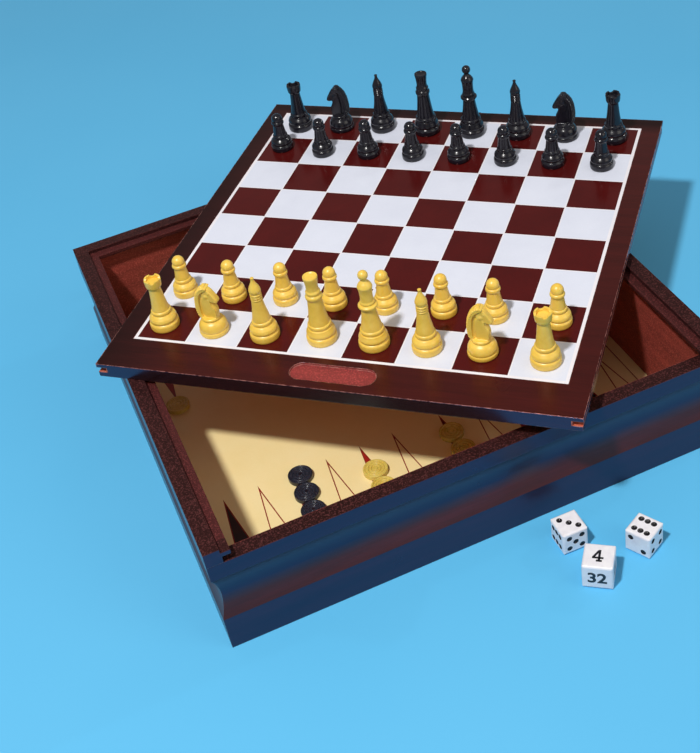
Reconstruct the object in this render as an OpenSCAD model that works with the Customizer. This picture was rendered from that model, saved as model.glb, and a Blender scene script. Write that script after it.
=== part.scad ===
// Games box: a square wooden tray with moulded sides, a printed backgammon floor and a
// loose game board lid laid askew across the rim, set out with chess pieces, with checkers
// inside and dice beside it. Millimetres, +Z up, origin at the centre of the underside of
// the tray, -Y is the side with the lowered wall, +X is to its right.

/* [Game board lid] */
// side of one square of the chequered field
square = 31.75; // [25:0.25:45]
// plain border beside the field, left and right
side_border = 13.5; // [8:0.5:30]
// plain border behind the field
back_border = 12.5; // [8:0.5:30]
// plain border in front of the field, wide enough for the finger pull
front_border = 25.5; // [20:0.5:50]
// thickness of the lid
lid_t = 9; // [7:0.1:14]
// turn of the lid on the tray, degrees
lid_turn = -40.4; // [-60:0.1:60]
// sideways place of the middle of the field
lid_x = 42.2; // [-60:0.1:60]
// front to back place of the middle of the field
lid_y = 37.6; // [-60:0.1:60]
// length of the finger pull
pull_l = 50; // [30:1:90]
// width of the finger pull
pull_w = 13.7; // [10:0.1:18]
// depth of the finger pull
pull_depth = 1.3; // [1:0.1:4]
// thickness of the printed playing surface, let in flush
surface_t = 0.4; // [0.2:0.1:1]
// width of the pale line around the field
outline_w = 1.9; // [0.6:0.1:4]

/* [Tray] */
// height from the underside to the rim
box_h = 72; // [55:1:110]
// thickness of the walls
wall_t = 9; // [7:0.5:14]
// width of the flat rim outside the lid slide
land_w = 8.5; // [5:0.5:14]
// length of the tongue that carries the lid
tongue_l = 5.3; // [3:0.1:8]
// thickness of the tongue
tongue_t = 2.6; // [1.6:0.1:4]
// step from the rim down to the tongue
tongue_step = 2.6; // [1.5:0.1:5]
// play of the closed lid between the rims, each side
slide_gap = 1; // [0.3:0.1:2]
// how much lower the front wall is than the rim
front_drop = 9.4; // [8:0.1:16]
// depth of the hollow moulding on the outside
cove_depth = 3.4; // [1:0.1:4]
// bottom edge of the hollow moulding
cove_low = 22.5; // [10:0.5:24]
// height of the hollow moulding
cove_h = 30; // [15:0.5:31]
// height of the top of the base panel
base_top = 3; // [2:0.1:6]
// depth of the step in the walls that holds the base panel
rebate = 3.5; // [2:0.1:5]
// thickness of the printed floor sheet
sheet_t = 0.35; // [0.2:0.05:1]

/* [Chess pieces] */
// foot diameter of the pieces of the back rows
major_d = 17.4; // [12:0.1:26]
// foot diameter of the pawns
pawn_d = 15.1; // [10:0.1:22]
// height of the king
king_h = 51.3; // [36:0.1:80]
// height of the queen
queen_h = 44.6; // [32:0.1:70]
// height of the bishops
bishop_h = 41.7; // [30:0.1:66]
// height of the knights
knight_h = 33.4; // [26:0.1:56]
// height of the rooks
rook_h = 34.3; // [26:0.1:52]
// height of the pawns
pawn_h = 26.9; // [22:0.1:44]

/* [Checkers and dice] */
// diameter of a checker
checker_d = 14.8; // [10:0.1:16]
// thickness of a checker
checker_t = 3.2; // [2.5:0.1:6]
// edge length of the dice
die_s = 15; // [10:0.5:18]
// edge length of the doubling cube
cube_s = 16.4; // [10:0.1:20]
// rounding of the edges of the dice
die_r = 1.3; // [0.4:0.1:2.5]
// width of a spot on a die
pip_d = 3.3; // [1.5:0.1:3.6]

/* [Hidden] */
field = 8 * square;
lid_w = field + 2 * side_border;
lid_front = -(field / 2 + front_border);
lid_back = field / 2 + back_border;
box_side = lid_w + 2 * (land_w + slide_gap);
half = box_side / 2;
tongue_tip = land_w + tongue_l;
front_h = box_h - front_drop;
tongue_hi = box_h - tongue_step;
tongue_lo = tongue_hi - tongue_t;
cove_r = (cove_h * cove_h / 4 + cove_depth * cove_depth) / (2 * cove_depth);
cove_mid = cove_low + cove_h / 2;
mitre_d = tongue_tip + 12;
slot_play = 0.3;
flange_low = (lid_t - tongue_t - 2 * slot_play) * 0.56;
slot_h = tongue_t + 2 * slot_play;
slot_d = tongue_l + 0.6;
flange_in = 0.5;
floor_z = base_top + sheet_t;
lid_top = box_h + lid_t;
major_foot = 0.735 * major_d;
pawn_foot = 0.77 * pawn_d;
king_r = 0.507 * major_d;
mid_r = 0.495 * major_d;
pawn_r = pawn_d / 2;

wood = [0.16, 0.05, 0.045];
raw_wood = [0.55, 0.3, 0.2];
print_board = [0.6, 0.5, 0.55];
print_floor = [0.93, 0.85, 0.62];
ivory = [0.88, 0.73, 0.34];
black = [0.06, 0.06, 0.08];
die_white = [0.93, 0.92, 0.95];

// small shifts of the hand-placed pieces from the middle of their squares, rows 1, 2, 7, 8
row_dx = [[-2.7, -2.3, -2.1, 0.3, -0.2, -1.3, -1.7, 1.8], [-3, -2.6, -1.8, -2.8, -3.2, -0.5, -2.1, 2.2],
  [-2.5, -2.5, -1.6, -1.5, -1.6, -1.5, -1.6, -1.5], [1.3, 0, -1.9, -1, -0.8, -0.5, -0.1, 0.8]];
row_dy = [[-2.2, -2.7, -2.8, -0.5, -0.7, -0.1, 0.8, -1.1], [-2.7, -3.1, -1.4, -1.5, -0.7, 0.5, 0.2, 0.2],
  [2.5, -1.1, -0.2, 0, 0.2, 0.3, 0.3, 0.5], [-1.5, 0.5, 2.9, 1.5, 1.8, 2, 2.4, 2]];

// which part is drawn: all of them or one by name

// wall section, u runs inwards from the outer face and v upwards
module wall_section(tongue) {
  top = tongue ? box_h : front_h;
  difference() {
    polygon(tongue
      ? [[0, 0], [wall_t - rebate, 0], [wall_t - rebate, base_top], [wall_t, base_top],
         [wall_t, tongue_lo], [tongue_tip, tongue_lo], [tongue_tip, tongue_hi],
         [land_w, tongue_hi], [land_w, top], [0, top]]
      : [[0, 0], [wall_t - rebate, 0], [wall_t - rebate, base_top], [wall_t, base_top],
         [wall_t, top], [0, top]]);
    translate([cove_depth - cove_r, cove_mid])
      circle(r = cove_r, $fn = 120);
  }
}

// full length bar with its outer face at the front of the tray
module wall_bar(tongue) {
  translate([-half, -half, 0])
    rotate([90, 0, 90])
      linear_extrude(height = box_side)
        wall_section(tongue);
}

// plan of a bar; a square end reaches the corner, a mitred end leaves it at 45 degrees
module bar_plan(left_square, right_square) {
  polygon([[-half, -half], [half, -half],
    [right_square ? half : half - mitre_d, -half + mitre_d],
    [left_square ? -half : -half + mitre_d, -half + mitre_d]]);
}

// side wall bar: mitred below the top of the front wall, square at the front above it
module side_bar(left_square, right_square) {
  intersection() {
    wall_bar(true);
    union() {
      linear_extrude(height = front_h)
        bar_plan(false, false);
      translate([0, 0, front_h])
        linear_extrude(height = box_h - front_h)
          bar_plan(left_square, right_square);
    }
  }
}

module front_wall() {
  color(wood)
    intersection() {
      wall_bar(false);
      linear_extrude(height = front_h)
        bar_plan(false, false);
    }
}

module back_wall() {
  color(wood)
    rotate([0, 0, 180])
      intersection() {
        wall_bar(true);
        linear_extrude(height = box_h)
          bar_plan(false, false);
      }
}

module right_wall() {
  color(wood)
    rotate([0, 0, 90])
      side_bar(true, false);
}

module left_wall() {
  color(wood)
    rotate([0, 0, -90])
      side_bar(false, true);
}

module base_panel() {
  side = box_side - 2 * (wall_t - rebate) - 0.4;
  color(raw_wood)
    translate([-side / 2, -side / 2, 0])
      cube([side, side, base_top]);
}

module backgammon_sheet() {
  side = box_side - 2 * wall_t - 0.6;
  color(print_floor)
    translate([-side / 2, -side / 2, base_top])
      cube([side, side, sheet_t]);
}

// puts a part drawn in lid coordinates onto the rim of the tray
module on_tray() {
  translate([lid_x, lid_y, box_h])
    rotate([0, 0, lid_turn])
      children();
}

module lid_panel() {
  sheet_side = field + outline_w;
  pull_y = -(field / 2 + front_border / 2);
  straight = pull_l - pull_w;
  depth = lid_back - lid_front;
  color(wood)
    on_tray()
      difference() {
        translate([-lid_w / 2, lid_front, 0])
          cube([lid_w, depth, lid_t]);
        // grooves in the left, right and back edges
        for (s = [-1, 1])
          translate([s * (lid_w / 2 - slot_d / 2 + 0.5) - slot_d / 2 - 0.5, lid_front - 1, flange_low])
            cube([slot_d + 1, depth + 2, slot_h]);
        translate([-lid_w / 2 - 1, lid_back - slot_d, flange_low])
          cube([lid_w + 2, slot_d + 1, slot_h]);
        // the flange under the grooves is a little narrower than the one above
        for (s = [-1, 1])
          translate([s * (lid_w / 2 - flange_in / 2 + 0.5) - flange_in / 2 - 0.5, lid_front - 1, -1])
            cube([flange_in + 1, depth + 2, flange_low + 1.01]);
        translate([-lid_w / 2 - 1, lid_back - flange_in, -1])
          cube([lid_w + 2, flange_in + 1, flange_low + 1.01]);
        // seat of the printed playing surface
        translate([-sheet_side / 2, -sheet_side / 2, lid_t - surface_t])
          cube([sheet_side, sheet_side, surface_t + 1]);
        // finger pull
        translate([0, pull_y, lid_t - pull_depth]) {
          translate([-straight / 2, -pull_w / 2, 0])
            cube([straight, pull_w, pull_depth + 1]);
          for (s = [-1, 1])
            translate([s * straight / 2, 0, 0])
              cylinder(d = pull_w, h = pull_depth + 1, $fn = 64);
        }
      }
}

module playing_surface() {
  sheet_side = field + outline_w;
  color(print_board)
    on_tray()
      translate([-sheet_side / 2, -sheet_side / 2, lid_t - surface_t])
        cube([sheet_side, sheet_side, surface_t]);
}

// puts a piece on a square, counted from 0 at the left and at the front of the field
module on_square(c, r, turn = 0) {
  i = r < 4 ? r : r - 4;
  on_tray()
    translate([(c - 3.5) * square + row_dx[i][c], (r - 3.5) * square + row_dy[i][c], lid_t])
      rotate([0, 0, turn])
        children();
}

// foot shared by the turned pieces: a low tier, a second tier and a ring of radius q * r
function foot(r, h, q) = [
  [0, 0], [0.93 * r, 0], [0.975 * r, 0.03 * h], [r, 0.1 * h], [r, 0.26 * h], [0.985 * r, 0.32 * h],
  [0.93 * r, 0.37 * h], [0.885 * r, 0.392 * h], [0.868 * r, 0.41 * h], [0.88 * r, 0.428 * h],
  [0.92 * r, 0.455 * h], [0.937 * r, 0.51 * h], [0.925 * r, 0.57 * h], [0.88 * r, 0.645 * h],
  [(0.47 + 0.48 * q) * r, 0.71 * h], [(q + 0.045) * r, 0.762 * h], [(q - 0.035) * r, 0.79 * h],
  [(q - 0.045) * r, 0.812 * h], [(q - 0.03) * r, 0.828 * h], [(q - 0.005) * r, 0.85 * h],
  [q * r, 0.885 * h], [q * r, 0.92 * h], [(q - 0.015) * r, 0.955 * h], [(q - 0.05) * r, 0.983 * h],
  [(q - 0.09) * r, h]
];

// points between a low and a high level given as shares of radius and of the height between
function shaft(r, low, high, shares) =
  [for (p = shares) [p[0] * r, low + p[1] * (high - low)]];

// quarter round and full round beads and balls
function ball(r, z, a0, a1, n) =
  [for (i = [0 : n]) let (a = a0 + (a1 - a0) * i / n) [r * cos(a), z + r * sin(a)]];

module turned(points) {
  rotate_extrude($fn = 96)
    polygon(points);
}

module pawn() {
  rb = 0.49 * pawn_r;
  zb = pawn_h - rb;
  turned(concat(
    foot(pawn_r, pawn_foot, 0.67),
    shaft(pawn_r, pawn_foot, zb, [[0.575, 0.06], [0.545, 0.2], [0.51, 0.36], [0.482, 0.51],
      [0.465, 0.61], [0.48, 0.645], [0.535, 0.685], [0.565, 0.735], [0.565, 0.79], [0.54, 0.84],
      [0.49, 0.87], [0.455, 0.873]]),
    ball(rb, zb, -22, 84, 12),
    [[0, pawn_h]]));
}

module rook() {
  well = 0.065 * rook_h;
  notch = 0.2 * mid_r;
  difference() {
    turned(concat(
      foot(mid_r, major_foot, 0.69),
      shaft(mid_r, major_foot, rook_h, [[0.59, 0.04], [0.545, 0.14], [0.505, 0.26], [0.47, 0.38],
        [0.435, 0.52], [0.41, 0.64], [0.4, 0.69], [0.415, 0.71], [0.47, 0.735], [0.52, 0.765],
        [0.545, 0.82], [0.56, 0.9], [0.57, 0.98], [0.56, 1], [0, 1]])));
    translate([0, 0, rook_h - well])
      cylinder(r = 0.41 * mid_r, h = well + 1, $fn = 48);
    for (a = [0, 90])
      rotate([0, 0, a + 25])
        translate([0, 0, rook_h + 0.25 * notch])
          rotate([0, 90, 0])
            cylinder(r = notch, h = 2 * mid_r, center = true, $fn = 32);
  }
}

// three fine rings one above the other, from share z up with pitch p, radii a and b
function rings(z, p, a, b) =
  [for (i = [0 : 2]) each [[a, z + i * p], [b, z + (i + 0.25) * p], [b + 0.005, z + (i + 0.5) * p],
    [b, z + (i + 0.75) * p], [a, z + (i + 0.95) * p]]];

module bishop() {
  turned(concat(
    foot(mid_r, major_foot, 0.69),
    shaft(mid_r, major_foot, bishop_h, concat(
      [[0.595, 0.035], [0.55, 0.12], [0.495, 0.2], [0.44, 0.3], [0.4, 0.4], [0.375, 0.46]],
      rings(0.47, 0.055, 0.35, 0.388),
      [[0.345, 0.64], [0.37, 0.66], [0.398, 0.685], [0.402, 0.715], [0.375, 0.75], [0.325, 0.79],
      [0.26, 0.83], [0.195, 0.87], [0.14, 0.91], [0.11, 0.94], [0.105, 0.965], [0.125, 0.98],
      [0.12, 0.995], [0.08, 1], [0, 1]]))));
}

module queen() {
  turned(concat(
    foot(king_r, major_foot, 0.77),
    shaft(king_r, major_foot, queen_h, [[0.665, 0.03], [0.63, 0.09], [0.59, 0.16], [0.555, 0.24],
      [0.52, 0.33], [0.49, 0.42], [0.468, 0.5], [0.475, 0.518], [0.525, 0.537], [0.552, 0.562],
      [0.548, 0.592], [0.49, 0.614], [0.445, 0.625], [0.455, 0.64], [0.478, 0.662], [0.473, 0.685],
      [0.43, 0.703], [0.4, 0.722], [0.393, 0.78], [0.41, 0.85], [0.44, 0.91], [0.468, 0.955],
      [0.477, 0.98], [0.46, 1], [0.41, 1], [0.34, 0.982], [0, 0.97]])));
}

module king() {
  rb = 0.325 * king_r;
  zb = king_h - rb;
  turned(concat(
    foot(king_r, major_foot, 0.77),
    shaft(king_r, major_foot, zb, [[0.665, 0.025], [0.63, 0.08], [0.59, 0.13], [0.55, 0.19],
      [0.515, 0.25], [0.485, 0.31], [0.46, 0.375], [0.475, 0.39], [0.57, 0.408], [0.625, 0.428],
      [0.62, 0.45], [0.55, 0.467], [0.455, 0.475], [0.47, 0.487], [0.485, 0.503], [0.46, 0.521],
      [0.425, 0.535], [0.412, 0.6], [0.412, 0.66], [0.425, 0.715], [0.45, 0.755], [0.475, 0.777],
      [0.485, 0.793], [0.47, 0.808], [0.43, 0.83], [0.36, 0.857], [0.27, 0.882], [0.205, 0.903],
      [0.18, 0.918]]),
    ball(rb, zb, -55, 84, 12),
    [[0, king_h]]));
}

// horse head facing +X on a domed foot; u and v are the scales of its side view
module knight() {
  u = major_d / 17.4;
  v = knight_h / 33.4;
  neck = [[-3.8, 9.8], [-4.6, 13], [-5.2, 17], [-5, 21.5], [-4.4, 25.5], [-3.2, 28.4], [-1, 30.6],
    [1.4, 31.7], [3.4, 31.2], [5.3, 29.8], [6.6, 28.2], [6.7, 26.8], [5.9, 25.7], [4.9, 25.1],
    [4, 24.6], [3.4, 23.8], [3.5, 22.8], [4.1, 21.3], [5, 19.3], [5.5, 16.8], [5.6, 14.2],
    [5.4, 11.8], [4.9, 9.8]];
  mane = [[-4.6, 9.8], [-6.7, 12], [-7.4, 15], [-7.6, 18], [-7.4, 21.5], [-6.8, 25],
    [-5.6, 28.4], [-3.8, 31], [-1.6, 32.8], [0.2, 33.4], [1.6, 33.1], [2.6, 32.2], [1.2, 30.9],
    [-0.6, 30.4], [-2.4, 29.4], [-3.6, 27.6], [-4.3, 25], [-4.7, 21], [-4.8, 17], [-4.4, 13.5],
    [-3.4, 11.4], [-2.8, 9.8]];
  turned([[0, 0], [0.93 * mid_r, 0], [0.98 * mid_r, 0.4 * v], [mid_r, 1.1 * v],
    [mid_r, 2.3 * v], [0.975 * mid_r, 2.9 * v], [0.93 * mid_r, 3.15 * v], [0.95 * mid_r, 3.5 * v],
    [0.965 * mid_r, 4.2 * v], [0.955 * mid_r, 5.2 * v], [0.92 * mid_r, 6.4 * v],
    [0.86 * mid_r, 7.5 * v], [0.78 * mid_r, 8.4 * v], [0.68 * mid_r, 9.1 * v],
    [0.6 * mid_r, 9.4 * v], [0.595 * mid_r, 9.7 * v], [0.625 * mid_r, 10 * v],
    [0.64 * mid_r, 10.6 * v], [0.62 * mid_r, 11.2 * v], [0.57 * mid_r, 11.6 * v], [0, 11.6 * v]]);
  translate([0, 2.75 * u, 0])
    rotate([90, 0, 0])
      linear_extrude(height = 5.5 * u)
        polygon([for (p = neck) [p[0] * u, p[1] * v]]);
  translate([0, 3.3 * u, 0])
    rotate([90, 0, 0])
      linear_extrude(height = 6.6 * u)
        polygon([for (p = mane) [p[0] * u, p[1] * v]]);
}

// flat disc with raised rings on its top, placed on the printed floor
module checker(x, y) {
  r = checker_d / 2;
  dip = 0.16 * checker_t;
  translate([x, y, floor_z])
    rotate_extrude($fn = 96)
      polygon(concat(
        [[0, 0], [r - 0.3, 0], [r, 0.3], [r, checker_t - 0.35], [r - 0.35, checker_t]],
        [for (i = [0 : 2]) let (b = r * (0.86 - 0.26 * i))
          each [[b, checker_t], [b - 0.05 * r, checker_t - dip],
            [b - 0.12 * r, checker_t - dip], [b - 0.17 * r, checker_t]]],
        [[0, checker_t]]));
}

// cube with rounded edges resting at height 0
module rounded_cube(s, r) {
  intersection() {
    linear_extrude(height = s)
      round_square(s, r);
    translate([0, s / 2, s / 2])
      rotate([90, 0, 0])
        linear_extrude(height = s)
          round_square(s, r);
    translate([-s / 2, 0, s / 2])
      rotate([90, 0, 90])
        linear_extrude(height = s)
          round_square(s, r);
  }
}

module round_square(s, r) {
  t = s - 2 * r;
  union() {
    square([s, t], center = true);
    square([t, s], center = true);
    for (a = [-1, 1], b = [-1, 1])
      translate([a * t / 2, b * t / 2])
        circle(r = r, $fn = 32);
  }
}

// places of the spots of one face, from 1 to 6, on a grid of step g
function spots(n, g) =
  n == 1 ? [[0, 0]] :
  n == 2 ? [[-g, g], [g, -g]] :
  n == 3 ? [[-g, g], [0, 0], [g, -g]] :
  n == 4 ? [[-g, g], [g, -g], [-g, -g], [g, g]] :
  n == 5 ? [[-g, g], [g, -g], [-g, -g], [g, g], [0, 0]] :
  [[-g, g], [0, g], [g, g], [-g, -g], [0, -g], [g, -g]];

// die with n = [top, front, left, right, back, bottom] spots, shallow round hollows
module die(x, y, turn, n) {
  g = 0.25 * die_s;
  rs = 0.62 * pip_d;
  sink = sqrt(rs * rs - pip_d * pip_d / 4);
  turns = [[0, 0, 0], [90, 0, 0], [90, 0, -90], [90, 0, 90], [90, 0, 180], [180, 0, 0]];
  translate([x, y, 0])
    rotate([0, 0, turn])
      difference() {
        rounded_cube(die_s, die_r);
        translate([0, 0, die_s / 2])
          for (f = [0 : 5])
            rotate(turns[f])
              for (p = spots(n[f], g))
                translate([p[0], p[1], die_s / 2 + sink])
                  sphere(r = rs, $fn = 32);
      }
}

module white_rook_a1() {
  color(ivory)
    on_square(0, 0)
      rook();
}

module white_knight_b1() {
  color(ivory)
    on_square(1, 0)
      knight();
}

module white_bishop_c1() {
  color(ivory)
    on_square(2, 0)
      bishop();
}

module white_queen_d1() {
  color(ivory)
    on_square(3, 0)
      queen();
}

module white_king_e1() {
  color(ivory)
    on_square(4, 0)
      king();
}

module white_bishop_f1() {
  color(ivory)
    on_square(5, 0)
      bishop();
}

module white_knight_g1() {
  color(ivory)
    on_square(6, 0)
      knight();
}

module white_rook_h1() {
  color(ivory)
    on_square(7, 0)
      rook();
}

module white_pawn_a2() {
  color(ivory)
    on_square(0, 1)
      pawn();
}

module white_pawn_b2() {
  color(ivory)
    on_square(1, 1)
      pawn();
}

module white_pawn_c2() {
  color(ivory)
    on_square(2, 1)
      pawn();
}

module white_pawn_d2() {
  color(ivory)
    on_square(3, 1)
      pawn();
}

module white_pawn_e2() {
  color(ivory)
    on_square(4, 1)
      pawn();
}

module white_pawn_f2() {
  color(ivory)
    on_square(5, 1)
      pawn();
}

module white_pawn_g2() {
  color(ivory)
    on_square(6, 1)
      pawn();
}

module white_pawn_h2() {
  color(ivory)
    on_square(7, 1)
      pawn();
}

module black_pawn_a7() {
  color(black)
    on_square(0, 6)
      pawn();
}

module black_pawn_b7() {
  color(black)
    on_square(1, 6)
      pawn();
}

module black_pawn_c7() {
  color(black)
    on_square(2, 6)
      pawn();
}

module black_pawn_d7() {
  color(black)
    on_square(3, 6)
      pawn();
}

module black_pawn_e7() {
  color(black)
    on_square(4, 6)
      pawn();
}

module black_pawn_f7() {
  color(black)
    on_square(5, 6)
      pawn();
}

module black_pawn_g7() {
  color(black)
    on_square(6, 6)
      pawn();
}

module black_pawn_h7() {
  color(black)
    on_square(7, 6)
      pawn();
}

module black_rook_a8() {
  color(black)
    on_square(0, 7)
      rook();
}

module black_knight_b8() {
  color(black)
    on_square(1, 7, turn = 180)
      knight();
}

module black_bishop_c8() {
  color(black)
    on_square(2, 7)
      bishop();
}

module black_queen_d8() {
  color(black)
    on_square(3, 7)
      queen();
}

module black_king_e8() {
  color(black)
    on_square(4, 7)
      king();
}

module black_bishop_f8() {
  color(black)
    on_square(5, 7)
      bishop();
}

module black_knight_g8() {
  color(black)
    on_square(6, 7, turn = 180)
      knight();
}

module black_rook_h8() {
  color(black)
    on_square(7, 7)
      rook();
}

module black_checker_1() {
  color(black)
    checker(-0.53 * half + 2.9, -0.575 * half + 2 * (checker_d + 0.2));
}

module black_checker_2() {
  color(black)
    checker(-0.53 * half + 1.3, -0.575 * half + checker_d + 0.2);
}

module black_checker_3() {
  color(black)
    checker(-0.53 * half, -0.575 * half);
}

module yellow_checker_1() {
  color(ivory)
    checker(-0.249 * half + 1.2, -0.597 * half + checker_d + 0.2);
}

module yellow_checker_2() {
  color(ivory)
    checker(-0.249 * half, -0.597 * half);
}

module yellow_checker_3() {
  color(ivory)
    checker(0.103 * half, -0.57 * half + checker_d + 1.4);
}

module yellow_checker_4() {
  color(ivory)
    checker(0.103 * half, -0.57 * half);
}

module yellow_checker_5() {
  color(ivory)
    checker(-0.826 * half, 0.285 * half);
}

module die_1() {
  color(die_white)
    die(36.3, -half - 23.8, -1, [3, 5, 6, 1, 2, 4]);
}

module die_2() {
  color(die_white)
    die(69.3, -half - 45.6, -62, [6, 2, 3, 4, 5, 1]);
}

module doubling_cube() {
  color(die_white)
    translate([37.9, -half - 52.3, 0])
      rotate([0, 0, -37])
        rounded_cube(cube_s, die_r);
}

front_wall();
back_wall();
left_wall();
right_wall();
base_panel();
backgammon_sheet();
lid_panel();
playing_surface();
white_rook_a1();
white_knight_b1();
white_bishop_c1();
white_queen_d1();
white_king_e1();
white_bishop_f1();
white_knight_g1();
white_rook_h1();
white_pawn_a2();
white_pawn_b2();
white_pawn_c2();
white_pawn_d2();
white_pawn_e2();
white_pawn_f2();
white_pawn_g2();
white_pawn_h2();
black_pawn_a7();
black_pawn_b7();
black_pawn_c7();
black_pawn_d7();
black_pawn_e7();
black_pawn_f7();
black_pawn_g7();
black_pawn_h7();
black_rook_a8();
black_knight_b8();
black_bishop_c8();
black_queen_d8();
black_king_e8();
black_bishop_f8();
black_knight_g8();
black_rook_h8();
black_checker_1();
black_checker_2();
black_checker_3();
yellow_checker_1();
yellow_checker_2();
yellow_checker_3();
yellow_checker_4();
yellow_checker_5();
die_1();
die_2();
doubling_cube();
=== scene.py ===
import math

import bpy
from mathutils import Euler, Matrix, Vector


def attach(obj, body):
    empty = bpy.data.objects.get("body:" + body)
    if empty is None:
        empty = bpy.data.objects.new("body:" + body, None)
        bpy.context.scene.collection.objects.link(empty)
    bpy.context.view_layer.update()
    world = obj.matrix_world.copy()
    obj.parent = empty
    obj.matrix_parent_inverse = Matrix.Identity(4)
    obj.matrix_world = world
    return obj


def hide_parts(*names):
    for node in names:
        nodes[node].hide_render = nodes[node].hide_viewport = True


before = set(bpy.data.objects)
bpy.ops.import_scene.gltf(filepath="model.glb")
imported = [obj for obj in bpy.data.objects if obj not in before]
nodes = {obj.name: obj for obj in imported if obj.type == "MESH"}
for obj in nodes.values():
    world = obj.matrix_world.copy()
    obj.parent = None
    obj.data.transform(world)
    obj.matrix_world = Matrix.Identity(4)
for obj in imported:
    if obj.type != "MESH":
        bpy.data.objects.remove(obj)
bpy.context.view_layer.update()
scene = bpy.context.scene

# Sizes in metres, the same as those of the model.
HALF, BOX_H, WALL_T, LAND_W = 0.150, 0.072, 0.009, 0.0085
TONGUE_LOW, TONGUE_HIGH = 0.0668, 0.0694
BASE_TOP, SHEET_TOP, SHEET_HALF = 0.003, 0.00335, 0.1407
SQUARE, OUTLINE, LID_T, SURFACE_T = 0.03175, 0.0019, 0.009, 0.0004
FIELD = 8 * SQUARE
PULL_Y, PULL_DEPTH, PULL_HALF_L, PULL_HALF_W = -0.13975, 0.0013, 0.0252, 0.0069
DIE_R = 0.0013
KNIGHT_W, KNIGHT_H = 0.0174, 0.0334

# Limits of finishes lie a few tenths of a millimetre beyond the faces that they take in.
# Here are those of the lid's grooves, each as (low, high), and of the tray's polished outside.
GROOVE_SIDE, GROOVE_BACK, GROOVE_Z = (0.1340, 0.1403), (0.1330, 0.1393), (0.0032, 0.0065)
OUTSIDE_W = 0.004
# A face of the lid counts as a top when its normal's height is above this.
FACE_UP = 0.6
# Values of the grain's noise at which its dark, middle and light tones lie.
GRAIN_STOPS = (0.28, 0.52, 0.78)

LID_TURN = -40.4
LID = Matrix.Translation((0.0422, 0.0376, BOX_H)) @ Matrix.Rotation(math.radians(LID_TURN), 4, "Z")
# x, y, turn in degrees, size
DICE = {
    "die_1": (0.0363, -0.1738, -1.0, 0.015),
    "die_2": (0.0693, -0.1956, -62.0, 0.015),
    "doubling_cube": (0.0379, -0.2023, -37.0, 0.0164),
}
# column, row, shift in x and y in millimetres, turn in degrees
KNIGHTS = {
    "white_knight_b1": (1, 0, -2.3, -2.7, 0),
    "white_knight_g1": (6, 0, -1.7, 0.8, 0),
    "black_knight_b8": (1, 7, 0, 0.5, 180),
    "black_knight_g8": (6, 7, -0.1, 2.4, 180),
}
# tints of a gloss, and its usual strength; the sky-blue tint is a painted reflection that makes reflections
# bluer than the table they mirror
WHITE, PAINTED_SKY_REFLECTION_TINT, RED_GLOSS = (1.0, 1.0, 1.0, 1.0), (0.22, 0.52, 1.0, 1.0), (1.0, 0.36, 0.32, 1.0)
DEFAULT_GLOSS = 0.5


def srgb(r, g, b):
    """Linear colour of an 8-bit screen colour."""
    linear = (((c / 255 + 0.055) / 1.055) ** 2.4 if c > 10 else c / 255 / 12.92 for c in (r, g, b))
    return tuple(linear) + (1.0,)


def shades(base, spread):
    """A dark, a middle and a light tone around one screen colour."""
    factors = (1 - spread, 1.0, 1 + spread)
    return tuple(srgb(*(max(0, min(255, c * f)) for c in base)) for f in factors)


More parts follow.
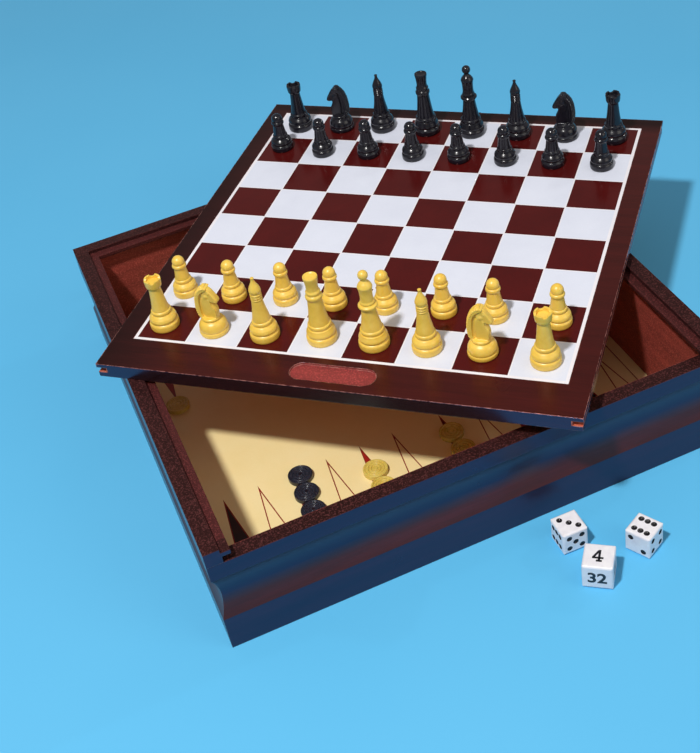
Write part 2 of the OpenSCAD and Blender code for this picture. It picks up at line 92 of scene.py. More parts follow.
class Shader:
    """A material under construction: a Principled shader and small helpers to wire nodes to it."""

    def __init__(self, name, **sockets):
        self.mat = bpy.data.materials.new(name)
        self.mat.use_nodes = True
        self.tree = self.mat.node_tree
        self.bsdf = self.tree.nodes["Principled BSDF"]
        for key, value in sockets.items():
            self.bsdf.inputs[key.replace("_", " ")].default_value = value

    def add(self, kind, inputs=None, **props):
        n = self.tree.nodes.new(kind)
        for key, value in props.items():
            setattr(n, key, value)
        for key, value in (inputs or {}).items():
            if isinstance(value, bpy.types.NodeSocket):
                self.tree.links.new(value, n.inputs[key])
            else:
                n.inputs[key].default_value = value
        return n

    def to(self, socket, value):
        self.tree.links.new(value, self.bsdf.inputs[socket])

    def math(self, op, a, b=0.0, c=0.0):
        return self.add("ShaderNodeMath", {0: a, 1: b, 2: c}, operation=op).outputs[0]

    def plus(self, a, b):
        return self.math("ADD", a, b)

    def minus(self, a, b):
        return self.math("SUBTRACT", a, b)

    def product(self, first, *others):
        for o in others:
            first = self.math("MULTIPLY", first, o)
        return first

    def larger(self, a, b):
        return self.math("MAXIMUM", a, b)

    def smaller(self, a, b):
        return self.math("MINIMUM", a, b)

    def clamp(self, value):
        return self.smaller(1.0, self.larger(0.0, value))

    def absolute(self, value):
        return self.math("ABSOLUTE", value)

    def above(self, value, limit):
        return self.math("GREATER_THAN", value, limit)

    def under(self, value, limit):
        return self.math("LESS_THAN", value, limit)

    def between(self, value, low, high):
        return self.product(self.above(value, low), self.under(value, high))

    def coords(self, turn=0.0):
        """Object coordinates, turned about Z by an angle in radians."""
        tex = self.add("ShaderNodeTexCoord")
        inputs = {"Vector": tex.outputs["Object"], "Rotation": (0, 0, turn)}
        return self.add("ShaderNodeMapping", inputs).outputs[0]

    def xyz(self, vector=None, turn=0.0, origin=(0, 0, 0)):
        """The three coordinates of the surface point, seen from a turned frame with its own origin."""
        if vector is None:
            vector = self.add("ShaderNodeTexCoord").outputs["Object"]
        moved = self.add("ShaderNodeVectorMath", {0: vector, 1: origin}, operation="SUBTRACT").outputs[0]
        inputs = {"Vector": moved, "Angle": -turn}
        turned = self.add("ShaderNodeVectorRotate", inputs, rotation_type="Z_AXIS")
        return tuple(self.add("ShaderNodeSeparateXYZ", {0: turned.outputs[0]}).outputs)

    def facing_up(self):
        """How far the surface faces up, from -1 to 1."""
        return self.xyz(self.add("ShaderNodeNewGeometry").outputs["Normal"])[2]

    def noise(self, vector, scale=1.0, detail=3.0, rough=0.5, distortion=0.0):
        n = self.add("ShaderNodeTexNoise", {"Vector": vector, "Scale": scale, "Detail": detail,
                                            "Roughness": rough, "Distortion": distortion})
        return n.outputs["Fac"]

    def ramp(self, fac, stops):
        """Tone at a value, between (value, tone) stops; a plain number is a grey."""
        n = self.add("ShaderNodeValToRGB", {"Fac": fac})
        while len(n.color_ramp.elements) < len(stops):
            n.color_ramp.elements.new(0.5)
        for e, (pos, tone) in zip(n.color_ramp.elements, stops):
            e.position = pos
            e.color = tone if isinstance(tone, tuple) else (tone, tone, tone, 1)
        return n.outputs["Color"]

    def rise(self, fac, low, high):
        """0 up to low, 1 from high on, even between them."""
        return self.ramp(fac, [(low, 0.0), (high, 1.0)])

    def mix(self, fac, a, b):
        """Colour a where fac is 0, colour b where it is 1."""
        return self.add("ShaderNodeMix", {0: fac, 6: a, 7: b}, data_type="RGBA").outputs[2]

    def edge(self, radius, samples):
        """Bevelled normal, and how strongly it turns away from the flat one (0 on faces, 1 on edges)."""
        bevel = self.add("ShaderNodeBevel", {"Radius": radius}, samples=samples).outputs[0]
        flat = self.add("ShaderNodeNewGeometry").outputs["Normal"]
        dot = self.add("ShaderNodeVectorMath", {0: bevel, 1: flat}, operation="DOT_PRODUCT")
        return bevel, self.minus(1.0, dot.outputs["Value"])

    def bump(self, height, strength, distance, normal=None):
        inputs = {"Height": height, "Strength": strength, "Distance": distance}
        if normal is not None:
            inputs["Normal"] = normal
        return self.add("ShaderNodeBump", inputs).outputs[0]


def wood(name, turn, base, rough, zones, wear_and_highlight=0.0, wear_and_highlight_colour=(150, 96, 84), grain=0.5, edge_radius=0.0007):
    """Stained and lacquered wood with its grain along the direction at turn degrees from X.
    grain is the contrast of its tones; the pale line along the edges is partly rubbed-off lacquer and partly
    a painted highlight, its strength and colour given by the two edge arguments.
    zones(s) lists (mask, tones, added roughness, speckle, gloss, tint of the gloss) for other finishes."""
    s = Shader(name, IOR=1.5)
    along = s.coords(math.radians(-turn))

    def streaks(length, across, detail, rough=0.5, distortion=0.0):
        stretched = s.add("ShaderNodeMapping", {"Vector": along, "Scale": (length, across, across)})
        return s.noise(stretched.outputs[0], 1.0, detail, rough, distortion)

    def grained(tones):
        return s.ramp(both, list(zip(GRAIN_STOPS, tones)))

    figure = streaks(14, 150, 6.0, 0.62, 0.4)
    fine = streaks(60, 1500, 3.0, 0.6)
    warp = streaks(3, 12, 2.0)
    pore = s.under(streaks(190, 2900, 1.0), 0.36)
    both = s.plus(s.product(figure, 0.7), s.product(fine, 0.3))
    both = s.plus(both, s.product(s.minus(warp, 0.5), 0.35))
    speck = s.rise(s.noise(s.coords(), 1300.0, 2.0, 0.6), 0.52, 0.63)
    own_tones = shades(base, grain)
    colour = s.mix(s.product(pore, 0.35), grained(own_tones), own_tones[0])
    patch = s.noise(along, 35.0, 3.0)
    rough_map = s.plus(s.product(patch, 0.14), rough - 0.07)
    height = s.minus(s.product(both, 0.5), s.product(pore, 0.25))
    gloss, tint = DEFAULT_GLOSS, WHITE
    finishes = zones(s)
    for mask, tones, added, speckle, level, hue in finishes:
        bright = tuple(min(1, c * 3.2) for c in tones[2][:3]) + (1,)
        tone = s.mix(s.product(speck, speckle), grained(tones), bright)
        colour = s.mix(mask, colour, tone)
        rough_map = s.plus(rough_map, s.product(mask, added))
        height = s.plus(height, s.product(speck, mask, 0.8 if speckle else 0.0))
        gloss = s.plus(s.product(s.minus(1.0, mask), gloss), s.product(mask, level))
        tint = s.mix(mask, tint, hue)
    nrm, edge = s.edge(edge_radius, 6)
    # Pale edge line: partly rubbed-off lacquer, partly a painted highlight along the edges.
    chips_and_glints = s.rise(s.noise(along, 260.0, 3.0, 0.6), 0.4, 0.62)
    worn_and_highlit = s.product(s.above(edge, 0.05), chips_and_glints, wear_and_highlight)
    s.to("Base Color", s.mix(worn_and_highlit, colour, srgb(*wear_and_highlight_colour)))
    s.to("Roughness", rough_map)
    s.to("Normal", s.bump(height, 0.12, 0.0002, nrm))
    if finishes:
        s.to("Specular IOR Level", gloss)
        s.to("Specular Tint", tint)
    return s.mat


def tray_zones(s):
    """Polished outer faces whose upward-facing cove is painted redder and duller as painted light from above,
    satin speckled tops, matt inner faces and the dark tongues.
    """
    x, y, z = s.xyz()
    reach = s.larger(s.absolute(x), s.absolute(y))
    up = s.facing_up()
    satin = s.larger(s.above(up, 0.7), s.under(reach, HALF - OUTSIDE_W))
    outer = s.minus(1.0, satin)
    # Painted light: upward-facing parts of the polished outside, mostly the cove's lower half, get a redder,
    # less glossy tone as if lit from above.
    painted_lit_cove = s.product(outer, s.clamp(s.product(up, 4.5)))
    inner = s.product(s.under(reach, HALF - WALL_T + 0.0002), s.under(z, TONGUE_LOW - 0.0002))
    tongue_height = s.between(z, TONGUE_LOW - 0.0004, TONGUE_HIGH + 0.0003)
    tongue = s.product(s.under(reach, HALF - LAND_W - 0.0001), tongue_height)
    return [
        # the polished outside's reflections carry the painted sky-blue reflection tint
        (outer, shades((40, 15, 20), 0.3), 0.06, 0.0, 1.0, PAINTED_SKY_REFLECTION_TINT),
        (painted_lit_cove, shades((68, 23, 26), 0.25), 0.08, 0.0, 0.45, WHITE),
        (satin, shades((38, 19, 19), 0.3), 0.2, 0.9, 0.22, RED_GLOSS),
        (inner, shades((142, 59, 50), 0.2), 0.1, 0.3, 0.4, WHITE),
        (tongue, shades((58, 26, 26), 0.22), 0.05, 0.6, 0.35, RED_GLOSS),
    ]


def lid_zones(s):
    """Red top with painted shade that darkens it and dulls its gloss towards the back and the left, polished
    sides, pale raw wood below and in the edge grooves, and the unpolished finger pull."""
    back_from, back_width, left_from, left_width = 0.122, 0.012, -0.096, 0.05
    x, y, z = s.xyz(turn=math.radians(LID_TURN), origin=tuple(LID.translation))
    side = s.absolute(x)
    up = s.facing_up()
    top = s.above(up, FACE_UP)
    upright = s.under(s.absolute(up), FACE_UP)
    below = s.under(up, -FACE_UP)
    # Painted shade: the top darkens and loses gloss towards the back and the left border.
    to_back = s.math("DIVIDE", s.minus(y, back_from), back_width)
    to_left = s.math("DIVIDE", s.minus(left_from, x), left_width)
    painted_dark_border = s.product(s.clamp(s.larger(to_back, to_left)), top, 0.85)
    groove = s.product(
        s.under(side, GROOVE_SIDE[1]), s.under(y, GROOVE_BACK[1]), s.between(z, *GROOVE_Z),
        s.larger(s.above(side, GROOVE_SIDE[0]), s.above(y, GROOVE_BACK[0])),
    )
    pull = s.product(
        s.under(side, PULL_HALF_L), s.under(s.absolute(s.minus(y, PULL_Y)), PULL_HALF_W),
        s.between(z, LID_T - PULL_DEPTH - 0.0002, LID_T - 0.0001),
    )
    return [
        (top, shades((60, 18, 16), 0.2), 0.0, 0.0, 0.45, RED_GLOSS),
        (painted_dark_border, shades((23, 14, 15), 0.2), 0.0, 0.0, 0.15, RED_GLOSS),
        # the lid's polished sides carry the same painted sky-blue reflection tint
        (upright, shades((42, 22, 25), 0.3), 0.0, 0.0, 1.0, PAINTED_SKY_REFLECTION_TINT),
        (below, shades((216, 132, 48), 0.14), 0.3, 0.0, 0.3, WHITE),
        (groove, shades((164, 76, 56), 0.25), 0.35, 0.3, 0.3, WHITE),
        (pull, shades((132, 51, 49), 0.16), 0.32, 0.25, 0.3, WHITE),
    ]


def plastic(name, colour, shade, rough, sss=0.0, rim=None, gloss=DEFAULT_GLOSS):
    """Moulded plastic with faint flow marks, an uneven gloss and a very fine surface.
    Where a rim colour is given, the edges are painted with it: a painted highlight on the black checkers'
    ring edges, painted shade on the ivory checkers' ones."""
    s = Shader(name, IOR=1.5, Subsurface_Weight=sss, Subsurface_Radius=(0.004, 0.002, 0.001),
               Subsurface_Scale=0.6, Specular_IOR_Level=gloss)
    base = s.coords()
    flow = s.noise(base, 140.0, 4.0, 0.6, 0.6)
    nrm, edge = s.edge(0.0004 if rim else 0.0003, 4)
    tone = s.mix(s.rise(flow, 0.35, 0.75), srgb(*colour), srgb(*shade))
    # Painted light on the edges: a lighter rim colour is a painted highlight, a darker one painted shade.
    if rim:
        tone = s.mix(s.rise(edge, 0.02, 0.2), tone, srgb(*rim))
    marks = s.noise(base, 420.0, 4.0, 0.65)
    fine = s.noise(base, 2600.0, 2.0)
    s.to("Base Color", tone)
    s.to("Roughness", s.plus(s.product(marks, 0.2), rough - 0.1))
    s.to("Normal", s.bump(s.plus(s.product(fine, 0.3), flow), 0.05, 0.0002, nrm))
    return s.mat


def printed(name, colour, shade, rough, tint=WHITE, **sockets):
    """Printed card: ink tone that varies a little, paper fibre and an uneven varnish."""
    s = Shader(name, IOR=1.5, Specular_Tint=tint, **sockets)
    tone = s.noise(s.coords(), 45.0, 4.0, 0.6)
    paper = s.noise(s.coords(0.4), 900.0, 4.0, 0.7, 0.5)
    mixed = s.plus(s.product(tone, 0.6), s.product(paper, 0.4))
    s.to("Base Color", s.mix(s.rise(mixed, 0.36, 0.7), srgb(*colour), srgb(*shade)))
    s.to("Roughness", s.plus(s.product(tone, 0.18), rough - 0.09))
    s.to("Normal", s.bump(paper, 0.05, 0.0001))
    return s.mat


def die_material(key):
    """White plastic whose spots, hollows in the flat middle of each face, are painted."""
    x, y, turn, size = DICE[key]
    s = Shader(key + "_plastic", IOR=1.5, Subsurface_Weight=0.08, Subsurface_Radius=(0.002, 0.002, 0.0025),
               Subsurface_Scale=0.5)
    a, b, c = (s.absolute(v) for v in s.xyz(turn=math.radians(turn), origin=(x, y, size / 2)))
    top = s.larger(a, s.larger(b, c))
    low = s.smaller(a, s.smaller(b, c))
    middle = s.minus(s.plus(a, s.plus(b, c)), s.plus(top, low))
    hollow = s.under(top, size / 2 - 0.00002)
    spot = s.product(hollow, s.under(middle, size / 2 - DIE_R - 0.0001))
    base = s.coords()
    cloud = s.noise(base, 260.0, 3.0, 0.6)
    white = s.mix(s.rise(cloud, 0.35, 0.7), srgb(238, 237, 242), srgb(227, 225, 233))
    s.to("Base Color", s.mix(spot, white, srgb(22, 20, 26)))
    s.to("Roughness", s.plus(s.product(cloud, 0.16), 0.12))
    s.to("Normal", s.bump(s.noise(base, 1800.0, 2.0), 0.04, 0.0001))
    return s.mat


# The tray's pale edge line is partly rubbed edges and partly a painted highlight on the tongues and rims.
tray_wood = {
    "base": (52, 19, 21), "rough": 0.24, "zones": tray_zones, "wear_and_highlight": 0.3, "wear_and_highlight_colour": (130, 70, 70),
}
mahogany_x = wood("mahogany_along_x", 0, **tray_wood)
mahogany_y = wood("mahogany_along_y", 90, **tray_wood)
# The lid's pale edge line is partly rubbed edges and partly a painted highlight along its top edges.
lid_wood = wood("lid_wood", LID_TURN, (62, 22, 21), 0.24, lid_zones, wear_and_highlight=0.9, wear_and_highlight_colour=(196, 134, 124),
                grain=0.2, edge_radius=0.0009)
base_board = wood("base_board", 0, (168, 130, 92), 0.6, lambda s: [], grain=0.18)

ivory = plastic("ivory_plastic", (246, 206, 87), (234, 190, 63), 0.38, sss=0.12, gloss=0.8)
black = plastic("black_plastic", (25, 24, 33), (17, 17, 24), 0.2)
# Its darker rim colour is painted shade along the ring edges.
ivory_checker = plastic("ivory_checker_plastic", (230, 207, 108), (216, 188, 82), 0.28, sss=0.12,
                        rim=(160, 132, 50))
# Its lighter rim colour is a painted highlight along the ring edges.
black_checker = plastic("black_checker_plastic", (24, 26, 37), (17, 19, 28), 0.22, rim=(98, 104, 124))

board_light = printed("board_light", (225, 230, 245), (217, 222, 238), 0.22)
board_dark = printed("board_dark", (80, 17, 16), (66, 14, 14), 0.18, tint=(1, 0.3, 0.28, 1),
                     Specular_IOR_Level=0.35)
board_line = printed("board_line", (240, 238, 244), (232, 229, 237), 0.22)
paper_cream = printed("paper_cream", (250, 231, 174), (245, 223, 158), 0.5)
ink_black = printed("ink_black", (44, 27, 28), (34, 21, 23), 0.42)
ink_red = printed("ink_red", (168, 34, 27), (146, 27, 22), 0.42)
ink_line = printed("ink_line", (146, 32, 20), (126, 27, 17), 0.42)
numeral_ink = printed("numeral_ink", (24, 23, 34), (17, 17, 26), 0.3)

finish = {
    "front_wall": mahogany_x, "back_wall": mahogany_x, "left_wall": mahogany_y, "right_wall": mahogany_y,
    "base_panel": base_board, "lid_panel": lid_wood,
}
finish.update({key: die_material(key) for key in DICE})
for node in nodes:
    if "checker" in node:
        finish[node] = ivory_checker if node.startswith("yellow_") else black_checker
    elif node.startswith("white_"):
        finish[node] = ivory
    elif node.startswith("black_"):
        finish[node] = black
for node, mat in finish.items():
    nodes[node].data.materials.clear()
    nodes[node].data.materials.append(mat)


def piece(name, verts, faces, mats, which, body, matrix, node=None, smooth=False):
    """Makes a mesh object, places it, and ties it to its body, material slot and CAD node."""
    mesh = bpy.data.meshes.new(name)
    mesh.from_pydata([matrix @ Vector(v) for v in verts], [], faces)
    for m in mats:
        mesh.materials.append(m)
    for poly, w in zip(mesh.polygons, which):
        poly.material_index = w
    mesh.polygons.foreach_set("use_smooth", [smooth] * len(mesh.polygons))
    mesh.update()
    obj = bpy.data.objects.new(name, mesh)
    scene.collection.objects.link(obj)
    if node:
        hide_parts(node)
    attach(obj, body)


class Sheet:
    """Flat printed sheet: a mosaic of coloured faces on top, plain sides and underside."""

    def __init__(self):
        self.verts, self.faces, self.which = [], [], []

    def face(self, pts, which):
        first = len(self.verts)
        self.verts += [tuple(p) for p in pts]
        self.faces.append(tuple(range(first, first + len(pts))))
        self.which.append(which)

    def rect(self, x0, y0, x1, y1, z, which):
        self.face([(x0, y0, z), (x1, y0, z), (x1, y1, z), (x0, y1, z)], which)

    def frame(self, outer, inner, z, which):
        """Mitred frame between two rectangles (x0, y0, x1, y1); a side of no width is left out."""
        o, i = ([(r[0], r[1]), (r[2], r[1]), (r[2], r[3]), (r[0], r[3])] for r in (outer, inner))
        widths = (inner[1] - outer[1], outer[2] - inner[2], outer[3] - inner[3], inner[0] - outer[0])
        for k in (k for k in range(4) if widths[k] > 1e-7):
            j = (k + 1) % 4
            self.face([(*o[k], z), (*o[j], z), (*i[j], z), (*i[k], z)], which)

    def ring(self, a, b, z, which):
        """Square frame between half sizes a and b."""
        self.frame((-b, -b, b, b), (-a, -a, a, a), z, which)

    def rim(self, h, z0, z1, which):
        """Sides from z0 to z1 and the underside of a square of half size h."""
        c = [(-h, -h), (h, -h), (h, h), (-h, h)]
        for i in range(4):
            (ax, ay), (bx, by) = c[i], c[(i + 1) % 4]
            self.face([(ax, ay, z0), (bx, by, z0), (bx, by, z1), (ax, ay, z1)], which)
        self.face([(-h, -h, z0), (-h, h, z0), (h, h, z0), (h, -h, z0)], which)


def playing_surface():
    """Chequered field with a fine white line around every square and a wider one around them all."""
    s = Sheet()
    light, dark, white = range(3)
    half, inner, fine = FIELD / 2, FIELD / 2 - OUTLINE / 2, 0.0004
    for i in range(8):
        for j in range(8):
            x0, x1 = (max(-inner, min(inner, (k - 4) * SQUARE)) for k in (i, i + 1))
            y0, y1 = (max(-inner, min(inner, (k - 4) * SQUARE)) for k in (j, j + 1))
            small = (x0 + fine * (i > 0), y0 + fine * (j > 0), x1 - fine * (i < 7), y1 - fine * (j < 7))
            s.rect(*small, LID_T, dark if (i + j) % 2 == 0 else light)
            s.frame((x0, y0, x1, y1), small, LID_T, white)
    s.ring(inner, half + OUTLINE / 2, LID_T, white)
    s.rim(half + OUTLINE / 2, LID_T - SURFACE_T, LID_T, light)
    piece("playing_surface_print", s.verts, s.faces, [board_light, board_dark, board_line], s.which,
          "lid", LID, "playing_surface")


def backgammon_floor():
    """Twelve outlined points on each side, their bases on a border line, and a plain middle."""
    s = Sheet()
    cream, dark, red, rule = range(4)
    fills = {
        -1: (dark, cream, dark, cream, red, cream, dark, cream, red, cream, dark, cream),
        1: (red, cream, dark, cream, dark, cream, red, cream, dark, cream, red, cream),
    }
    z, border, line, pitch, length, first_middle = SHEET_TOP, 0.13375, 0.0007, 0.0215, 0.0845, 0.0155
    first = first_middle - pitch / 2
    last = first + 6 * pitch
    lim, apex = border - line / 2, border - length
    slope = math.hypot(pitch / 2, lim - apex)
    inset = line * slope / (lim - apex) * (1 - line / (lim - apex))
    s.ring(border + line / 2, SHEET_HALF, z, cream)
    s.ring(lim, border + line / 2, z, rule)
    for side, row in fills.items():
        y0, y1 = side * lim, side * apex

        def face(points, which):
            pts = [(x, y, z) for x, y in points]
            s.face(pts[::-1] if side > 0 else pts, which)

        for k, fill in enumerate(row):
            x0 = -last + k * pitch if k < 6 else first + (k - 6) * pitch
            x1, xc = x0 + pitch, x0 + pitch / 2
            face([(x0, y0), (xc, y1), (x0, y1)], cream)
            face([(x1, y0), (x1, y1), (xc, y1)], cream)
            foot = y0 + side * -line
            a, b, c = (x0, y0), (x1, y0), (xc, y1)
            ia, ib, ic = (x0 + inset, foot), (x1 - inset, foot), (xc, y1 + side * line * slope / (pitch / 2))
            for outline in ((a, b, ib, ia), (b, c, ic, ib), (c, a, ia, ic)):
                face(outline, rule)
            face([ia, ib, ic], fill)
        for x0, x1 in ((-lim, -last), (-first, first), (last, lim)):
            s.rect(x0, min(y0, y1), x1, max(y0, y1), z, cream)
    s.rect(-lim, -apex, lim, apex, z, cream)
    s.rim(SHEET_HALF, BASE_TOP, z, cream)
    piece("backgammon_print", s.verts, s.faces, [paper_cream, ink_black, ink_red, ink_line], s.which,
          "tray", Matrix(), "backgammon_sheet")


def evaluated(obj):
    """Mesh of a new object as its modifiers leave it; the object itself goes."""
    scene.collection.objects.link(obj)
    bpy.context.view_layer.update()
    mesh = bpy.data.meshes.new_from_object(obj.evaluated_get(bpy.context.evaluated_depsgraph_get()))
    bpy.data.objects.remove(obj)
    return mesh


def strokes(lines, width, size, height):
    """Flat bars of one width along straight lines of a unit grid, one low box each."""
    verts, faces = [], []
    for (x0, y0), (x1, y1) in lines:
        d = Vector((x1 - x0, y1 - y0, 0)) * size
        side = Vector((-d.y, d.x, 0)).normalized() * width / 2
        a, b = Vector((x0, y0, 0)) * size, Vector((x1, y1, 0)) * size
        first = len(verts)
        for z in (0.0, height):
            verts += [p + Vector((0, 0, z)) for p in (a + side, a - side, b - side, b + side)]
        for f in ((0, 1, 2, 3), (7, 6, 5, 4), (0, 4, 5, 1), (1, 5, 6, 2), (2, 6, 7, 3), (3, 7, 4, 0)):
            faces.append(tuple(first + k for k in f))
    return verts, faces


def numerals():
    """Plain numbers on the six faces of the doubling cube."""
    x, y, turn, size = DICE["doubling_cube"]
    place = Matrix.Translation((x, y, size / 2)) @ Matrix.Rotation(math.radians(turn), 4, "Z")
    front = Matrix.Rotation(math.pi / 2, 4, "X")
    faces = [
        ("32", front),
        ("8", Matrix.Rotation(math.pi / 2, 4, "Z") @ front),
        ("16", Matrix.Rotation(math.pi, 4, "Z") @ front),
        ("64", Matrix.Rotation(-math.pi / 2, 4, "Z") @ front),
        ("2", Matrix.Rotation(math.pi, 4, "X")),
    ]
    for text, turned in faces:
        curve = bpy.data.curves.new("number_" + text, "FONT")
        curve.body = text
        curve.size = 0.0116 if len(text) == 1 else 0.0104
        curve.align_x, curve.align_y = "CENTER", "CENTER"
        curve.extrude = 0.000006
        curve.offset = 0.0003
        mesh = evaluated(bpy.data.objects.new("number_tmp", curve))
        lo, hi = ([end(v.co[i] for v in mesh.vertices) for i in range(2)] for end in (min, max))
        # The number on the underside is let in, so that it stays above the table.
        height = size / 2 + (-0.000004 if text == "2" else 0.000006)
        shift = Matrix.Translation((-(lo[0] + hi[0]) / 2, -(lo[1] + hi[1]) / 2, height))
        mesh.transform(place @ turned @ shift)
        mesh.materials.clear()
        mesh.materials.append(numeral_ink)
        obj = bpy.data.objects.new("number_" + text, mesh)
        scene.collection.objects.link(obj)
        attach(obj, "doubling_cube_body")
    grid = 0.0078
    four = [
        ((0.5, 0.93), (0.14, 0.32)), ((0.08, 0.32), (0.84, 0.32)),
        ((0.55, 0.07), (0.55, 1.0)), ((0.36, 0.07), (0.76, 0.07)),
    ]
    verts, bars = strokes(four, 0.00125, grid, 0.000008)
    place = place @ Matrix.Translation((-grid / 2, -grid / 2, size / 2))
    piece("number_4", verts, bars, [numeral_ink], [0] * len(bars),
          "doubling_cube_body", place)


def revolve(profile, steps=72):
    """Closed solid turned from (radius, height) points that start and end on the axis."""
    ring = profile[1:-1]
    angles = [2 * math.pi * k / steps for k in range(steps)]
    verts = [Vector((0, 0, profile[0][1]))]
    for r, z in ring:
        verts += [Vector((r * math.cos(t), r * math.sin(t), z)) for t in angles]
    verts.append(Vector((0, 0, profile[-1][1])))
    last = len(verts) - 1
    faces = [(0, 1 + (k + 1) % steps, 1 + k) for k in range(steps)]
    for i in range(len(ring) - 1):
        a, b = 1 + i * steps, 1 + (i + 1) * steps
        faces += [(a + k, a + (k + 1) % steps, b + (k + 1) % steps, b + k) for k in range(steps)]
    top = 1 + (len(ring) - 1) * steps
    faces += [(top + k, top + (k + 1) % steps, last) for k in range(steps)]
    return verts, faces


def slab(outline, half_width):
    """Closed solid: an outline in the side view with flat cheeks at plus and minus half_width."""
    n = len(outline)
    verts = [Vector((x, w, z)) for w in (-half_width, half_width) for x, z in outline]
    faces = [tuple(range(n)), tuple(range(2 * n - 1, n - 1, -1))]
    faces += [(k, n + k, n + (k + 1) % n, (k + 1) % n) for k in range(n)]
    return verts, faces


def blob(centre, radii, turn=0.0, steps=14):
    """Ellipsoid, tilted in the side view by turn."""
    angles = [math.pi * k / steps for k in range(1, steps)]
    arc = [(math.sin(t), -math.cos(t)) for t in angles]
    verts, faces = revolve([(0, -1)] + arc + [(0, 1)], 18)
    m = Matrix.Translation(centre) @ Matrix.Rotation(turn, 4, "Y") @ Matrix.Diagonal((*radii, 1))
    return [m @ v for v in verts], faces


def ribs(path, spacing=1.5, depth=1.25):
    """Flattened ellipsoids across a path in the side view, at even spacing and sunk in by depth."""
    parts, run, cuts = [], spacing, 12
    for (ax, az), (bx, bz) in zip(path, path[1:]):
        length = math.hypot(bx - ax, bz - az)
        tx, tz = (bx - ax) / length, (bz - az) / length
        for k in range(cuts):
            run += length / cuts
            if run < spacing:
                continue
            run -= spacing
            x, z = ax + (bx - ax) * k / cuts + tz * depth, az + (bz - az) * k / cuts - tx * depth
            parts.append(blob((x, 0, z), (0.55, 3.3, depth), math.atan2(-tz, tx), 12))
    return parts


def horse():
    """Chess knight: ribbed mane, groove, neck, cheeks and snout on a domed foot, drawn in millimetres
    and then brought to its size."""
    neck = [
        (-3.8, 9.8), (-4.6, 13), (-5.2, 17), (-5, 21.5), (-4.4, 25.5), (-3.2, 28.4), (-1, 30.6),
        (1.2, 31.8), (2.8, 31.3), (4.1, 29.8), (5.3, 27.8), (6.5, 25.8), (7.3, 24.2), (7.5, 23.0),
        (7.0, 22.1), (6.0, 21.8), (5.0, 22.0), (4.2, 22.3), (3.6, 21.8), (3.7, 20.9), (4.3, 19.5),
        (5.1, 17.9), (5.5, 16.1), (5.5, 14.2), (5.3, 11.8), (4.9, 9.8),
    ]
    chest = [
        (-1.6, 10.2), (-2.1, 14), (-2.4, 18), (-2.3, 22), (-1.8, 25), (-0.3, 26), (1.6, 25),
        (2.8, 23.4), (3.1, 22.0), (3.2, 20.9), (3.9, 19.3), (4.7, 17.7), (5.0, 16.1), (5.0, 14.2),
        (4.8, 12), (4.4, 10.2),
    ]
    head = [
        (-1.4, 25.6), (-1.5, 27.6), (-0.1, 29.5), (1.4, 31.0), (2.7, 30.5), (3.9, 29.0),
        (5.1, 27.0), (6.2, 25.2), (6.9, 23.9), (7.0, 23.0), (6.5, 22.5), (5.6, 22.4), (4.6, 22.9),
        (3.4, 23.2), (2.2, 22.8), (1.0, 22.6), (-0.4, 23.4),
    ]
    mane = [
        (-4.6, 9.8), (-5.9, 12), (-6.5, 15), (-6.7, 18), (-6.5, 21.5), (-5.9, 25), (-4.8, 28.0),
        (-3.2, 30.3), (-1.3, 31.9), (0.2, 32.5), (1.4, 32.4), (2.4, 31.9), (1.4, 30.7),
        (-0.2, 29.8), (-1.9, 28.6), (-3.1, 26.9), (-3.8, 25), (-4.2, 21), (-4.3, 17), (-4.0, 13.5),
        (-3.2, 11.4), (-2.6, 9.8),
    ]
    mane_edge = [
        (-5.6, 10.6), (-6.9, 12.4), (-7.4, 15), (-7.6, 18), (-7.4, 21.5), (-6.8, 25), (-5.6, 28.4),
        (-3.8, 31), (-1.6, 32.8), (0.2, 33.4), (1.6, 33.1),
    ]
    # radius as a share of the foot's, height
    foot = [
        (0, 0), (0.93, 0), (0.98, 0.4), (1, 1.1), (1, 2.3), (0.975, 2.9), (0.93, 3.15), (0.95, 3.5),
        (0.965, 4.2), (0.955, 5.2), (0.92, 6.4), (0.86, 7.5), (0.78, 8.4), (0.68, 9.1), (0.6, 9.4),
        (0.595, 9.7), (0.625, 10), (0.64, 10.6), (0.62, 11.2), (0.57, 11.6), (0, 11.6),
    ]
    foot_r = 0.495 * KNIGHT_W * 1000
    cheeks, muzzle = ((0.9, 0, 26.3), (2.7, 2.9, 2.8)), ((5.5, 0, 24.2), (1.9, 2.3, 1.45), 1.0)
    lips, brow = ((6.2, 0, 23.2), (1.1, 2.5, 0.95), 1.0), ((2.9, 0, 28.7), (1.0, 2.85, 0.55), 0.95)
    ears = [((-0.6, side * 1.55, 32.2), (0.7, 0.6, 1.2), -0.5) for side in (1, -1)]
    parts = [revolve([(share * foot_r, z) for share, z in foot])]
    parts += [slab(neck, 1.5), slab(chest, 2.5), slab(head, 2.3), slab(mane, 2.8)]
    parts += [blob(*shape) for shape in (cheeks, muzzle, lips, *ears, brow)]
    verts, faces = [], []
    for v, f in parts + ribs(mane_edge):
        faces += [tuple(len(verts) + k for k in face) for face in f]
        verts += v
    mesh = bpy.data.meshes.new("horse")
    mesh.from_pydata(verts, [], faces)
    tmp = bpy.data.objects.new("horse_tmp", mesh)
    remesh = tmp.modifiers.new("merge", "REMESH")
    remesh.mode, remesh.voxel_size = "VOXEL", 0.2
    soften = tmp.modifiers.new("soften", "SMOOTH")
    soften.factor, soften.iterations = 0.5, 1
    done = evaluated(tmp)
    drawn_w, drawn_h = 17.4, 33.4
    across, up = KNIGHT_W / drawn_w, KNIGHT_H / drawn_h
    verts = [(v.co.x * across, v.co.y * across, max(0.0, v.co.z) * up) for v in done.vertices]
    return verts, [tuple(p.vertices) for p in done.polygons]


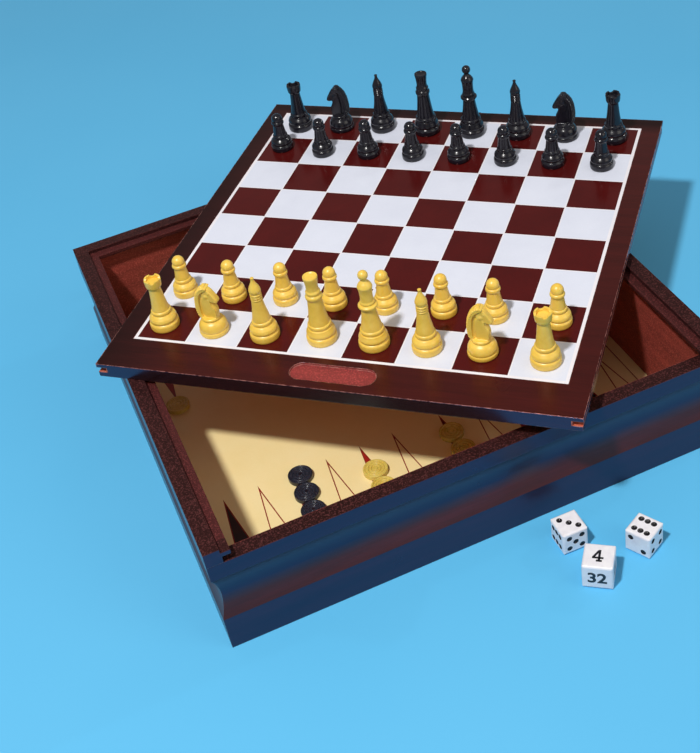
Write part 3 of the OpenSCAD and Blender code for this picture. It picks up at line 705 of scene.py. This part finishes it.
def knights():
    """The four knights, each on its square and turned to the other side of the board."""
    verts, faces = horse()
    for node, (col, row, dx, dy, turn) in KNIGHTS.items():
        x, y = (col - 3.5) * SQUARE + dx / 1000, (row - 3.5) * SQUARE + dy / 1000
        place = LID @ Matrix.Translation((x, y, LID_T)) @ Matrix.Rotation(math.radians(turn), 4, "Z")
        white = node.startswith("white")
        piece(node + "_carving", verts, faces, [ivory if white else black], [0] * len(faces), node + "_body",
              place, node, True)


def floor():
    """Pale blue table; beyond the reach of the lamps its own colour shows as the backdrop."""
    table, half, lit, fade = srgb(98, 190, 238), 40.0, 0.75, 0.8
    s = Shader("floor_blue", Roughness=0.6, IOR=1.4)
    tone = s.noise(s.coords(), 3.0)
    s.to("Base Color", s.mix(s.rise(tone, 0.3, 0.7), table, srgb(92, 186, 235)))
    reach = s.add("ShaderNodeVectorMath", {0: s.coords()}, operation="LENGTH").outputs["Value"]
    far = s.math("SMOOTH_MIN", 1.0, s.product(s.minus(reach, lit), fade), 0.2)
    path = s.add("ShaderNodeLightPath").outputs
    seen = s.larger(s.larger(path["Is Camera Ray"], path["Is Glossy Ray"]), path["Is Transmission Ray"])
    glow = s.add("ShaderNodeEmission", {"Color": table, "Strength": 1.0})
    both = s.add("ShaderNodeMixShader", {
        0: s.product(seen, s.larger(0.0, far)), 1: s.bsdf.outputs[0], 2: glow.outputs[0],
    })
    s.tree.links.new(both.outputs[0], s.tree.nodes["Material Output"].inputs["Surface"])
    corners = [(-half, -half, 0), (half, -half, 0), (half, half, 0), (-half, half, 0)]
    mesh = bpy.data.meshes.new("floor")
    mesh.from_pydata(corners, [], [(0, 1, 2, 3)])
    mesh.materials.append(s.mat)
    obj = bpy.data.objects.new("floor", mesh)
    obj.location.z = -0.0002
    scene.collection.objects.link(obj)


def lamp(name, place, size, power, colour=(1, 1, 1), target=(0, 0, 0.05)):
    """Round lamp that points at the middle of the box."""
    data = bpy.data.lights.new(name, "AREA")
    data.shape = "DISK"
    data.size = size
    data.energy = power
    data.color = colour
    obj = bpy.data.objects.new(name, data)
    obj.location = place
    obj.rotation_euler = (Vector(target) - Vector(place)).to_track_quat("-Z", "Y").to_euler()
    scene.collection.objects.link(obj)


def camera():
    """Plain pinhole camera fitted to the box's corners; its focal length and shifts are in pixels."""
    photo_h, focal, shift_x, shift_y, sensor = 753, 1278.98, -50.72, -50.13, 36.0
    data = bpy.data.cameras.new("camera")
    data.sensor_fit = "AUTO"
    data.sensor_width = sensor
    data.lens = focal / photo_h * sensor
    data.shift_x, data.shift_y = shift_x / photo_h, shift_y / photo_h
    data.clip_start, data.clip_end = 0.01, 50
    cam = bpy.data.objects.new("camera", data)
    cam.location = (-0.17336, -0.58671, 0.53487)
    cam.rotation_euler = Euler((0.8860, 0.1232, -0.4138), "XYZ")
    scene.collection.objects.link(cam)
    scene.camera = cam


playing_surface()
backgammon_floor()
numerals()
knights()
floor()
lamp("key", (-0.69, -0.55, 1.73), size=0.14, power=29.5, colour=(1.0, 0.98, 0.95))
lamp("fill", (1.0, -1.3, 1.0), size=1.2, power=5.5, colour=(1.0, 0.94, 0.84))
lamp("rim", (1.8, 0.1, 1.2), size=0.07, power=2.2)

world = bpy.data.worlds.new("world")
scene.world = world
world.use_nodes = True
background = world.node_tree.nodes["Background"]
background.inputs["Color"].default_value = (0.94, 0.91, 0.9, 1)
background.inputs["Strength"].default_value = 0.29

camera()
scene.view_settings.view_transform = "Standard"
